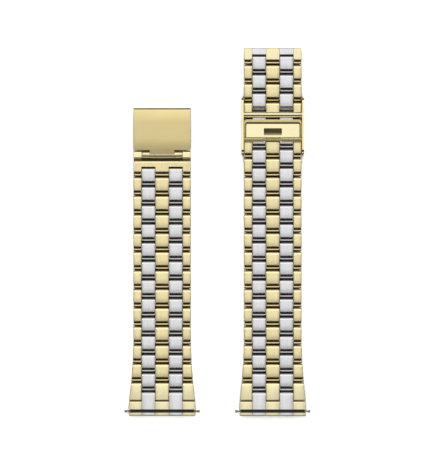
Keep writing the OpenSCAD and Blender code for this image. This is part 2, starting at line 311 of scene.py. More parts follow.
def join(pieces, name):
    """Join pieces into the first one."""
    bpy.ops.object.select_all(action="DESELECT")
    for piece in pieces:
        piece.select_set(True)
    bpy.context.view_layer.objects.active = pieces[0]
    bpy.ops.object.join()
    return named(bpy.context.active_object, name)


def apply_modifier(piece, kind, **settings):
    only(piece)
    change = piece.modifiers.new(kind.lower(), kind)
    for name, value in settings.items():
        setattr(change, name, value)
    bpy.ops.object.modifier_apply(modifier=change.name)
    return piece


def combine(piece, tool, operation):
    apply_modifier(piece, "BOOLEAN", operation=operation, object=tool, solver="EXACT")
    bpy.data.objects.remove(tool)
    return piece


def cut(piece, tool):
    """Cut a piece with a tool, which is used up."""
    return combine(piece, tool, "DIFFERENCE")


def unite(piece, other):
    """Make one closed shape of two pieces; the other one is used up."""
    return combine(piece, other, "UNION")


def thicken(piece, thickness, **settings):
    """Give a sheet its thickness, inwards from its outer side."""
    return apply_modifier(piece, "SOLIDIFY", thickness=thickness, offset=-1.0, **settings)


def soften(piece, width, segments=2, angle=40):
    """Round a piece's edges that are sharper than an angle."""
    return apply_modifier(
        piece,
        "BEVEL",
        width=width,
        segments=segments,
        limit_method="ANGLE",
        angle_limit=math.radians(angle),
        use_clamp_overlap=True,
    )


def smooth(piece, angle=40, flats=False):
    """Smooth shading up to an angle; flats keeps large faces evenly lit."""
    only(piece)
    bpy.ops.object.shade_smooth_by_angle(angle=math.radians(angle))
    if flats:
        apply_modifier(piece, "WEIGHTED_NORMAL", keep_sharp=True, weight=60)
    return piece


def rod(name, width, radius, x=0.0, y=0.0, z=0.0, sides=SIDES, end_rounding=0.0):
    """A rod across the strap."""
    piece = begin(
        name,
        bpy.ops.mesh.primitive_cylinder_add,
        vertices=sides,
        radius=radius,
        depth=width,
        location=(x, y, z),
        rotation=(0, math.pi / 2, 0),
    )
    if end_rounding:
        round_edges(piece, lambda e: span(e).x < width / 2, end_rounding, 3)
    return piece


def drill(piece, radius, x=0.0, y=0.0, z=0.0, sides=SIDES, width=DRILL_LENGTH):
    """Bore a hole across the strap through a piece."""
    return cut(piece, rod("drill", width, radius, x, y, z, sides))


def box(name, low, high):
    """A box between two corners, as a start for a plate or as a cutting tool."""
    size = [b - a for a, b in zip(low, high)]
    centre = [(a + b) / 2 for a, b in zip(low, high)]
    return begin(name, bpy.ops.mesh.primitive_cube_add, size=1, location=centre, scale=size)


def round_block(name, width, reach, sides, near_end, far_end, stretch=1.0, crown=0.0, side_crown=0.0):
    """A block with round ends and a slightly crowned top, middle at the origin.

    The near end looks towards -Y; stretch makes it longer than it is high. Sides holds the
    roundings along the left and the right side.
    """
    piece = begin(name, bpy.ops.mesh.primitive_cube_add, size=1, scale=(width, reach, THICK))
    open_mesh(piece)
    for way, rounding in ((-1, near_end), (1, far_end)):
        end_y = way * reach / 2
        on_end = lambda e: span(e).x > width / 2 and abs(middle(e).y - end_y) < HAIR
        bevel(piece, on_end, rounding, END_STEPS)
    if stretch != 1.0:
        pick(piece, "VERT", lambda v: v.co.y < 0)
        bpy.ops.transform.resize(value=(1, stretch, 1), center_override=(0, -reach / 2, 0))
    if crown:
        flat = reach / 2 - max(near_end * stretch, far_end)
        for y in (-flat / 2, 0, flat / 2):
            pick(piece, "FACE", lambda f: abs(f.normal.x) < 0.5)
            bpy.ops.mesh.bisect(plane_co=(0, y, 0), plane_no=(0, 1, 0))
        flatten(piece, lambda v: abs(v.co.y) > 0.9 * flat, crown)
        flatten(piece, lambda v: 0.4 * flat < abs(v.co.y) < 0.6 * flat, crown / 4)
    for way, rounding in zip((-1, 1), sides):
        at_side = lambda e: middle(e).x * way > width / 2 - HAIR
        on_rim = lambda e: at_side(e) and any(abs(f.normal.x) < 0.5 for f in e.link_faces)
        bevel(piece, on_rim, rounding, SIDE_STEPS)
    if side_crown:
        inner = width / 2 - max(sides)
        for x in (-inner / 2, 0, inner / 2):
            pick(piece, "FACE", lambda f: abs(f.normal.x) < 0.05)
            bpy.ops.mesh.bisect(plane_co=(x, 0, 0), plane_no=(1, 0, 0))
        for part, drop in ((1, side_crown), (0.5, side_crown / 4)):
            flatten(piece, lambda v: abs(abs(v.co.x) - part * inner) < 0.25 * inner, drop)
    close_mesh()
    return piece


# Rows of bricks


def brick(sizes, width, x, sides, bore, near_end, stretch):
    """A crowned brick with the bores for its two pins, in its column."""
    crowns = {"crown": sizes.crown, "side_crown": sizes.side_crown}
    piece = round_block("brick", width, BRICK_LENGTH, sides, near_end, sizes.far_end, stretch, **crowns)
    for y in (-PIN_FROM_MIDDLE, PIN_FROM_MIDDLE):
        drill(piece, bore, y=y, sides=FEW_SIDES, width=width + PAST)
    return move(piece, x, 0.0, 0.0)


def link_pin(sizes, name, x, y, z):
    """A pin across the strap that ends just inside its sides."""
    return rod(name, 2 * (STRAP_HALF - PIN_INSET), sizes.pin_radius, x, y, z, FEW_SIDES, PIN_ROUNDING)


def gold_row_place(number):
    """How far the middle of a gold row lies past the line before the first one."""
    return (number - 0.5) * PITCH


def half_place(half):
    """Where a half starts: its centre line, the line before its first gold row, and its underside."""
    low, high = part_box(f"{half}_link_07")
    return Vector(((low.x + high.x) / 2, low.y + BRICK_LENGTH / 2 - gold_row_place(7), low.z))


def link_rows():
    """Name, half's place and row number of every packed link."""
    for name in sorted(frame["nodes"]):
        if "_link_" in name:
            half, number = name.split("_link_")
            yield name, half_place(half), int(number)


def flare_at(sizes, y):
    """How much wider each side is, at a distance from the line before the first gold row."""
    if y >= sizes.flare_length:
        return 0.0
    return sizes.flare * (1 - max(y, 0.0) / sizes.flare_length) ** 2


def widen(piece, sizes, place):
    """Move the outer sides of a row out to the flare of the strap."""
    rim = 0.4 * MM
    for vertex in piece.data.vertices:
        across = vertex.co.x - place.x
        if abs(across) > STRAP_HALF - rim:
            vertex.co.x += math.copysign(flare_at(sizes, vertex.co.y - place.y), across)


def lay_row(sizes, row, name, metal_name, finish, place, y):
    """Copy a row of bricks to its place in the strap and dress it."""
    piece = copy_of(row, f"{name}_{metal_name.lower()}")
    move(piece, place.x, y, place.z + THICK / 2)
    widen(piece, sizes, place)
    dress(piece, finish, name)
    finish_faces(piece, metal_name + " ends", is_round_end)
    # The steep faces in the gaps get a dark copy of the metal, painted shade
    finish_faces(piece, metal_name + " painted shade", is_between_bricks)


# Finishes


def node(tree, kind, place, inputs=None, **settings):
    """Add a node with its settings and the values of its inputs."""
    made = tree.nodes.new(kind)
    made.location = place
    for name, value in settings.items():
        setattr(made, name, value)
    for name, value in (inputs or {}).items():
        made.inputs[name].default_value = value
    return made


def link(tree, source, output, target, entry):
    tree.links.new(source.outputs[output], target.inputs[entry])


def new_group(name, vectors, values, results):
    """A node group with its sockets, and the nodes where it starts and ends."""
    group = bpy.data.node_groups.new(name, "ShaderNodeTree")
    for socket in vectors:
        group.interface.new_socket(name=socket, in_out="INPUT", socket_type="NodeSocketVector")
    for socket in values:
        group.interface.new_socket(name=socket, in_out="INPUT", socket_type="NodeSocketFloat")
    for socket in results:
        group.interface.new_socket(name=socket, in_out="OUTPUT", socket_type="NodeSocketFloat")
    return group, node(group, "NodeGroupInput", (-900, 0)), node(group, "NodeGroupOutput", (600, 0))


def brushing_group():
    """Fine parallel lines of a brushed finish, and the broad tone changes along them."""
    found = bpy.data.node_groups.get("Brushed lines")
    if found:
        return found
    group, start, end = new_group(
        "Brushed lines", ("Vector", "Lines", "Bands"), (), ("Line", "Band", "Height")
    )
    both = node(group, "ShaderNodeMath", (0, 0), operation="ADD")
    parts = (("Lines", "Line", 3.0, 150), ("Bands", "Band", 2.0, -150))
    for entry, (scale, result, detail, y) in enumerate(parts):
        stretched = node(group, "ShaderNodeVectorMath", (-700, y), operation="MULTIPLY")
        link(group, start, "Vector", stretched, 0)
        link(group, start, scale, stretched, 1)
        grain = {"Scale": 1.0, "Detail": detail, "Roughness": 0.6}
        noise = node(group, "ShaderNodeTexNoise", (-480, y), grain)
        link(group, stretched, "Vector", noise, "Vector")
        spread = node(group, "ShaderNodeMapRange", (-250, y), {"From Min": 0.3, "From Max": 0.7})
        link(group, noise, "Fac", spread, "Value")
        link(group, spread, "Result", end, result)
        link(group, spread, "Result", both, entry)
    link(group, both, "Value", end, "Height")
    return group


def handling_group():
    """Faint smudges and a few crossing hairline scratches, as on a handled bracelet."""
    found = bpy.data.node_groups.get("Handling marks")
    if found:
        return found
    group, start, end = new_group(
        "Handling marks", ("Vector",), ("Smudge scale", "Scratch scale"), ("Smudge", "Scratch")
    )
    smudge = node(group, "ShaderNodeTexNoise", (-500, 200), {"Detail": 4.0, "Roughness": 0.55})
    link(group, start, "Vector", smudge, "Vector")
    link(group, start, "Smudge scale", smudge, "Scale")
    patch = node(group, "ShaderNodeMapRange", (-250, 200), {"From Min": 0.4, "From Max": 0.7})
    link(group, smudge, "Fac", patch, "Value")
    link(group, patch, "Result", end, "Smudge")
    either = node(group, "ShaderNodeMath", (0, -150), operation="MAXIMUM")
    for entry, (turn, y) in enumerate(((0.5, -50), (-0.9, -300))):
        drawn_out = {"Rotation": (0.0, 0.0, turn), "Scale": (1.0, 0.035, 1.0)}
        aim = node(group, "ShaderNodeMapping", (-700, y), drawn_out)
        hair = node(group, "ShaderNodeTexNoise", (-500, y), {"Detail": 1.0})
        thin = node(group, "ShaderNodeMapRange", (-250, y), {"From Min": 0.69, "From Max": 0.74})
        link(group, start, "Vector", aim, "Vector")
        link(group, aim, "Vector", hair, "Vector")
        link(group, start, "Scratch scale", hair, "Scale")
        link(group, hair, "Fac", thin, "Value")
        link(group, thin, "Result", either, entry)
    link(group, either, "Value", end, "Scratch")
    return group


def metal(name, paint, tone, roughness, spread, grain, depth, smudges):
    """A metal with brushed or polishing lines, tone bands, smudges and hairline scratches.

    Tone says how much its bands and lines darken it, spread how much its lines roughen it, grain
    how its lines and bands run, and depth how deep its lines are, in microns.
    """
    found = bpy.data.materials.get(name)
    if found:
        return found
    finish = bpy.data.materials.new(name)
    finish.use_nodes = True
    finish.diffuse_color = (*paint, 1.0)
    tree = finish.node_tree
    shader = tree.nodes["Principled BSDF"]
    shader.inputs["Metallic"].default_value = 1.0
    where = node(tree, "ShaderNodeTexCoord", (-1300, 0))
    lines, bands = grain
    brushing = {"Lines": lines, "Bands": bands}
    brushed = node(tree, "ShaderNodeGroup", (-1050, 150), brushing, node_tree=brushing_group())
    wear = {"Smudge scale": 220.0, "Scratch scale": 5200.0}
    handled = node(tree, "ShaderNodeGroup", (-1050, -200), wear, node_tree=handling_group())
    link(tree, where, "Object", brushed, "Vector")
    link(tree, where, "Object", handled, "Vector")
    banded = node(tree, "ShaderNodeMapRange", (-800, 250), {"To Min": 0.0, "To Max": tone})
    link(tree, brushed, "Band", banded, "Value")
    lined = node(tree, "ShaderNodeMath", (-620, 250), {1: 0.6 * tone}, operation="MULTIPLY_ADD")
    link(tree, brushed, "Line", lined, 0)
    link(tree, banded, "Result", lined, 2)
    tones = {"A": (*paint, 1.0), "B": (*tinted(paint, 0.62), 1.0)}
    toned = node(tree, "ShaderNodeMix", (-420, 250), tones, data_type="RGBA")
    link(tree, lined, "Value", toned, "Factor")
    link(tree, toned, "Result", shader, "Base Color")
    rough = {1: spread, 2: roughness}
    dull = node(tree, "ShaderNodeMath", (-620, -100), rough, operation="MULTIPLY_ADD")
    link(tree, brushed, "Line", dull, 0)
    touched = node(tree, "ShaderNodeMath", (-420, -100), {1: smudges}, operation="MULTIPLY_ADD")
    link(tree, handled, "Smudge", touched, 0)
    link(tree, dull, "Value", touched, 2)
    link(tree, touched, "Value", shader, "Roughness")
    scored = node(tree, "ShaderNodeMath", (-620, -350), {1: -0.5}, operation="MULTIPLY_ADD")
    link(tree, handled, "Scratch", scored, 0)
    link(tree, brushed, "Height", scored, 2)
    bump = node(tree, "ShaderNodeBump", (-300, -350), {"Strength": 1.0, "Distance": depth * MICRON})
    link(tree, scored, "Value", bump, "Height")
    link(tree, bump, "Normal", shader, "Normal")
    return finish


def tinted(paint, share):
    return tuple(share * c for c in paint)


# How the fine lines and the broad bands of a finish run: their scales across, along and upwards
ALONG_LINES = (9000.0, 170.0, 170.0)
SOFT_BANDS = (180.0, 180.0, 180.0)
ALONG = (ALONG_LINES, (1500.0, 130.0, 130.0))
ACROSS = ((170.0, 9000.0, 9000.0), (110.0, 1300.0, 1300.0))
POLISHED = (ALONG_LINES, SOFT_BANDS)
TURNED = ((9000.0, 300.0, 300.0), SOFT_BANDS)


def finish_named(name):
    """A finish from its row: colour, tone, roughness, spread, grain, depth and smudges."""
    colours = bpy.context.scene.bracelet_colours
    gold = tuple(colours.gold)
    lit_gold = tuple(colours.lit_gold)
    satin = tuple(colours.satin_gold)
    bright = tuple(colours.bright_gold)
    # dull holds the darker gold that paints shade on the rolled barrels and pins
    dull = tuple(colours.shade_gold)
    steel = tuple(colours.steel)
    lit_steel = tuple(colours.lit_steel)
    rows = {
        "Gold brushed along": (gold, 0.16, 0.24, 0.08, ALONG, 0.9, 0.03),
        # Painted light: a lighter copy of the gold for the lug ends, first rows and free end
        "Gold pale along": (lit_gold, 0.12, 0.26, 0.08, ALONG, 0.9, 0.03),
        "Gold satin across": (satin, 0.05, 0.44, 0.08, ACROSS, 1.2, 0.04),
        # Painted shade: a darker copy of the satin gold on the cover's rolled free edge
        "Gold painted edge shade": (tinted(satin, 0.8), 0.1, 0.5, 0.08, TURNED, 0.3, 0.04),
        "Gold ends": (gold, 0.05, 0.07, 0.02, POLISHED, 0.1, 0.03),
        "Gold polished": (bright, 0.05, 0.07, 0.03, POLISHED, 0.12, 0.05),
        "Gold bar": (tinted(bright, 0.86), 0.06, 0.13, 0.04, TURNED, 0.2, 0.04),
        "Gold turned": (bright, 0.1, 0.24, 0.06, TURNED, 0.3, 0.04),
        # Painted shade: a darker copy of the bright gold on the cover's barrel, towards the lugs
        "Gold barrel": (tinted(bright, 0.68), 0.1, 0.28, 0.06, TURNED, 0.3, 0.04),
        # Painted shade: the darker gold on the rolled barrels and pins
        "Gold rolled": (dull, 0.15, 0.22, 0.08, TURNED, 0.3, 0.04),
        # Painted shade: a dark copy of the darker gold for gaps, grooves, the clamp floor and the cover's
        # sides
        "Gold painted shade": (tinted(dull, 0.4), 0.1, 0.45, 0.08, TURNED, 0.3, 0.04),
        "Steel brushed along": (steel, 0.14, 0.22, 0.08, ALONG, 0.9, 0.03),
        # Painted light: a lighter copy of the steel for the lug ends and the free end
        "Steel pale along": (lit_steel, 0.12, 0.24, 0.08, ALONG, 0.9, 0.03),
        "Steel ends": (tinted(steel, 0.9), 0.05, 0.07, 0.02, POLISHED, 0.1, 0.03),
        "Steel turned": (tinted(steel, 0.45), 0.1, 0.16, 0.06, TURNED, 0.5, 0.04),
        # Painted shade: dark steel for the gaps between rows
        "Steel painted shade": (tuple(colours.gap_shade_steel), 0.1, 0.45, 0.08, TURNED, 0.3, 0.04),
        # Painted shadow: near-black steel for the tube down in its seam
        "Tube in shadow": (tuple(colours.tube_shadow_steel), 0.1, 0.35, 0.06, TURNED, 0.3, 0.03),
        "Spring wire": (steel, 0.15, 0.24, 0.06, TURNED, 0.4, 0.05),
    }
    return metal(name, *rows[name])


def finish_faces(piece, finish, test):
    """Give the faces that pass a test a finish of their own."""
    piece.data.materials.append(finish_named(finish))
    last = len(piece.data.materials) - 1
    for face in piece.data.polygons:
        if test(face):
            face.material_index = last


def is_round_end(face):
    """True on the polished round ends and sides of a brick, false on its brushed top and underside."""
    return abs(face.normal.z) < 0.985


def is_between_bricks(face):
    """True on the steep faces down in the gaps between rows, which get a dark finish as painted shade."""
    return abs(face.normal.z) < 0.42 and abs(face.normal.x) < 0.5


def dress(piece, finish, name):
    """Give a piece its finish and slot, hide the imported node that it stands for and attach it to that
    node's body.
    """
    piece.data.materials.clear()
    piece.data.materials.append(finish_named(finish))
    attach(piece, body_of(name))
    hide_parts(name)


def body_of(name):
    for body, members in frame["record"]["behaviour"]["bodies"].items():
        if name in members:
            return body
    raise ValueError(f"no body holds {name}")


def place_of_rod(name):
    """Middle, length and radius of a packed rod across the strap."""
    low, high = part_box(name)
    return (low + high) / 2, high.x - low.x, (high.z - low.z) / 2


# Pieces


class BRACELET_OT_gold_rows(bpy.types.Operator):
    """Model the gold bricks of every row, flared towards the lug ends"""

    bl_idname = "bracelet.gold_rows"
    bl_label = "Gold rows"

    def execute(self, context):
        sizes = context.scene.bracelet_sizes
        first_row = self.row(sizes, "first_row", 0.6 * sizes.square_end, 1.0)
        other_row = self.row(sizes, "gold_row", sizes.near_end, sizes.near_stretch)
        for name, place, number in link_rows():
            row, finish = other_row, "Gold brushed along"
            if number == 1:
                # The first row gets the lighter gold, which paints in light
                row, finish = first_row, "Gold pale along"
            lay_row(sizes, row, name, "Gold", finish, place, place.y + gold_row_place(number))
        for row in (first_row, other_row):
            bpy.data.objects.remove(row)
        return {"FINISHED"}

    def row(self, sizes, name, near_end, stretch):
        """Three gold bricks side by side."""
        soft = sizes.brick_rounding
        rim = sizes.rim_rounding
        edge_width = STRAP_HALF - (sizes.centre_width / 2 + 2 * sizes.column_gap + sizes.steel_width)
        edge_x = STRAP_HALF - edge_width / 2
        columns = (
            (sizes.centre_width, 0.0, (soft, soft)),
            (edge_width, edge_x, (soft, rim)),
            (edge_width, -edge_x, (rim, soft)),
        )
        bricks = [brick(sizes, *column, sizes.held_bore, near_end, stretch) for column in columns]
        return smooth(join(bricks, name))


class BRACELET_OT_steel_rows(bpy.types.Operator):
    """Model the steel bricks of every row and the pins that hold them"""

    bl_idname = "bracelet.steel_rows"
    bl_label = "Steel rows and pins"

    def execute(self, context):
        sizes = context.scene.bracelet_sizes
        width = sizes.steel_width
        x = sizes.centre_width / 2 + sizes.column_gap + width / 2
        sides = (sizes.brick_rounding, sizes.brick_rounding)
        end = (sizes.near_end, sizes.near_stretch)
        parts = []
        for way in (-1, 1):
            parts.append(brick(sizes, width, way * x, sides, sizes.turning_bore, *end))
            parts.append(link_pin(sizes, "pin", 0.0, way * PIN_FROM_MIDDLE - PITCH / 2, 0.0))
        row = smooth(join(parts, "steel_row"))
        for name, place, number in link_rows():
            lay_row(sizes, row, name, "Steel", "Steel brushed along", place, place.y + number * PITCH)
        bpy.data.objects.remove(row)
        return {"FINISHED"}


class BRACELET_OT_lug_ends(bpy.types.Operator):
    """Model the two end pieces that hold the spring bars"""

    bl_idname = "bracelet.lug_ends"
    bl_label = "Lug ends"

    def execute(self, context):
        sizes = context.scene.bracelet_sizes
        inner = sizes.centre_width / 2 + sizes.column_gap
        outer = inner + sizes.steel_width
        soft = EDGE_ROUNDING
        rim = sizes.rim_rounding
        for half in HALVES:
            name = f"{half}_lug_end"
            low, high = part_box(name)
            edge = (high.x - low.x) / 2
            made = {"Gold": [], "Steel": []}
            for metal_name, x_from, x_to, sides in (
                ("Gold", -edge, -outer, (rim, soft)),
                ("Steel", -outer, -inner, (soft, soft)),
                ("Gold", -inner, inner, (soft, soft)),
                ("Steel", inner, outer, (soft, soft)),
                ("Gold", outer, edge, (soft, rim)),
            ):
                band = self.band(sizes, half, metal_name == "Steel", x_from, x_to, sides)
                made[metal_name].append(band)
            for metal_name, bands in made.items():
                piece = smooth(join(bands, f"{name}_{metal_name.lower()}"))
                # The lighter gold and steel paint in light on the lug ends
                dress(piece, metal_name + " pale along", name)
                finish_faces(piece, metal_name + " ends", is_round_end)
        return {"FINISHED"}

    def band(self, sizes, half, is_steel, x_from, x_to, sides):
        """One column of a lug end with its share of the seam; a steel one holds the first link pin."""
        low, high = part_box(f"{half}_lug_end")
        place = half_place(half)
        bar, _, bar_radius = place_of_rod(f"{half}_bar_tube")
        reach = high.y - low.y if is_steel else place.y - (PITCH / 2 - BRICK_LENGTH / 2) - low.y
        far_end = sizes.far_end if is_steel else sizes.square_end
        piece = round_block("band", x_to - x_from, reach, sides, sizes.square_end, far_end)
        move(piece, place.x + (x_from + x_to) / 2, low.y + reach / 2, (low.z + high.z) / 2)
        play = 0.05 * MM
        drill(piece, bar_radius + play, place.x, bar.y, bar.z)
        seam_past_bar = 0.12 * MM
        seam_y = bar.y + seam_past_bar
        seam_low = (place.x - DRILL_LENGTH / 2, seam_y - sizes.seam_width / 2, bar.z)
        seam_high = (place.x + DRILL_LENGTH / 2, seam_y + sizes.seam_width / 2, high.z + PAST)
        cut(piece, box("seam", seam_low, seam_high))
        if is_steel:
            drill(piece, sizes.turning_bore, place.x, place.y + PIN_FROM_MIDDLE, bar.z, FEW_SIDES)
        return piece


class BRACELET_OT_end_links(bpy.types.Operator):
    """Model the last link of each half, with the outer knuckles of the cover's hinge on the short one"""

    bl_idname = "bracelet.end_links"
    bl_label = "End links"

    def execute(self, context):
        sizes = context.scene.bracelet_sizes
        self.short_link(sizes)
        self.free_end(sizes)
        return {"FINISHED"}

    def short_link(self, sizes):
        """Three prongs on a bar, with the outer knuckles of the cover's hinge past it."""
        name = "short_end_link"
        place = half_place("short")
        knuckle, _, pin_radius = place_of_rod("cover_hinge_pin")
        knuckle_radius = THICK / 2 - CLEARANCE
        groove_width = 0.66 * MM
        bar_to = knuckle.y - (knuckle.z - CLEARANCE) - groove_width
        low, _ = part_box(name)
        bar_from = low.y + PITCH / 2
        piece = self.prongs(sizes, name, place, bar_to, sizes.hinge_end, bar_from)
        for way in (-1, 1):
            self.add_knuckle(sizes, piece, place.x, way, knuckle, knuckle_radius, bar_to)
        pin_y, z = self.pin_line(place, 12)
        drill(piece, sizes.held_bore, place.x, pin_y, z)
        play = 0.02 * MM
        drill(piece, pin_radius + play, place.x, knuckle.y, z)
        smooth(piece, flats=True)
        dress(piece, "Gold brushed along", name)
        finish_faces(piece, "Gold ends", is_round_end)
        finish_faces(piece, "Gold polished", lambda face: face.center.y > bar_to + 0.1 * MM)
        # Painted shade: the low neck in the groove before the knuckles gets the dark gold
        groove = (bar_to - 0.02 * MM, bar_to + 0.45 * MM)
        groove_top = z + 0.6 * MM
        in_groove = lambda face: groove[0] < face.center.y < groove[1] and face.center.z < groove_top
        finish_faces(piece, "Gold painted shade", in_groove)
        self.pin(sizes, name, place.x, pin_y, z)

    def free_end(self, sizes):
        """Three gold prongs with two steel bars between them, cut off square."""
        name = "long_free_end"
        place = half_place("long")
        low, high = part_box(name)
        gold = self.prongs(sizes, name, place, high.y, sizes.square_end, high.y + PAST)
        inner, outer = self.slots(sizes)
        bar_from = low.y + PITCH / 2
        soft = 0.05 * MM
        edge = sizes.square_end
        pin_y, z = self.pin_line(place, 18)
        bars = []
        for way in (-1, 1):
            bar = round_block("bar", outer - inner, high.y - bar_from, (soft, soft), 0.5 * edge, edge)
            bars.append(move(bar, place.x + way * (inner + outer) / 2, (bar_from + high.y) / 2, z))
        steel = join(bars, name + "_steel")
        for piece, metal_name in ((gold, "Gold"), (steel, "Steel")):
            drill(piece, sizes.held_bore, place.x, pin_y, z)
            smooth(piece, flats=True)
            # The lighter gold and steel paint in light on the free end
            dress(piece, metal_name + " pale along", name)
            finish_faces(piece, metal_name + " ends", is_round_end)
        self.pin(sizes, name, place.x, pin_y, z)

    def slots(self, sizes):
        """Inner and outer side of the two slots between the prongs, from the centre line."""
        inner = sizes.centre_width / 2
        return inner, inner + 2 * sizes.column_gap + sizes.steel_width

    def pin_line(self, place, rows):
        """How far along and how high the link pin past the last row lies."""
        return rows * PITCH + PIN_FROM_MIDDLE + place.y, place.z + THICK / 2

    def prongs(self, sizes, name, place, bar_to, far_end, slot_to):
        """A block across the strap that two slots part into three prongs."""
        low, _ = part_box(name)
        reach = bar_to - low.y
        sides = (sizes.rim_rounding, sizes.rim_rounding)
        piece = round_block(
            name + "_gold", 2 * STRAP_HALF, reach, sides, sizes.near_end, far_end, sizes.near_stretch
        )
        move(piece, place.x, low.y + reach / 2, place.z + THICK / 2)
        inner, outer = self.slots(sizes)
        for x_from, x_to in ((-outer, -inner), (inner, outer)):
            slot_low = (place.x + x_from, low.y - PAST, low.z - PAST)
            slot_high = (place.x + x_to, slot_to, place.z + THICK + PAST)
            cut(piece, box("slot", slot_low, slot_high))
        return soften(piece, EDGE_ROUNDING)

    def add_knuckle(self, sizes, piece, middle_x, way, knuckle, radius, bar_to):
        """An outer knuckle of the cover's hinge on a low neck, flush with the strap's side."""
        sides = (middle_x + way * STRAP_HALF, middle_x + way * (STRAP_HALF - sizes.knuckle_width))
        x_from, x_to = sorted(sides)
        eye = box(
            "eye",
            (x_from, knuckle.y - radius, knuckle.z - radius),
            (x_to, knuckle.y + radius, knuckle.z + radius),
        )
        round_edges(eye, lambda e: span(e).x > MM, 0.4 * radius, 6)
        soften(eye, 0.1 * MM, segments=3)
        inset = 0.08 * MM
        neck = box(
            "neck",
            (x_from + inset, bar_to - THICK / 2, knuckle.z - 0.7 * radius),
            (x_to - inset, knuckle.y, knuckle.z + 0.1 * radius),
        )
        unite(eye, neck)
        unite(piece, eye)

    def pin(self, sizes, name, x, y, z):
        pin = smooth(link_pin(sizes, name + "_pin", x, y, z))
        dress(pin, "Steel brushed along", name)


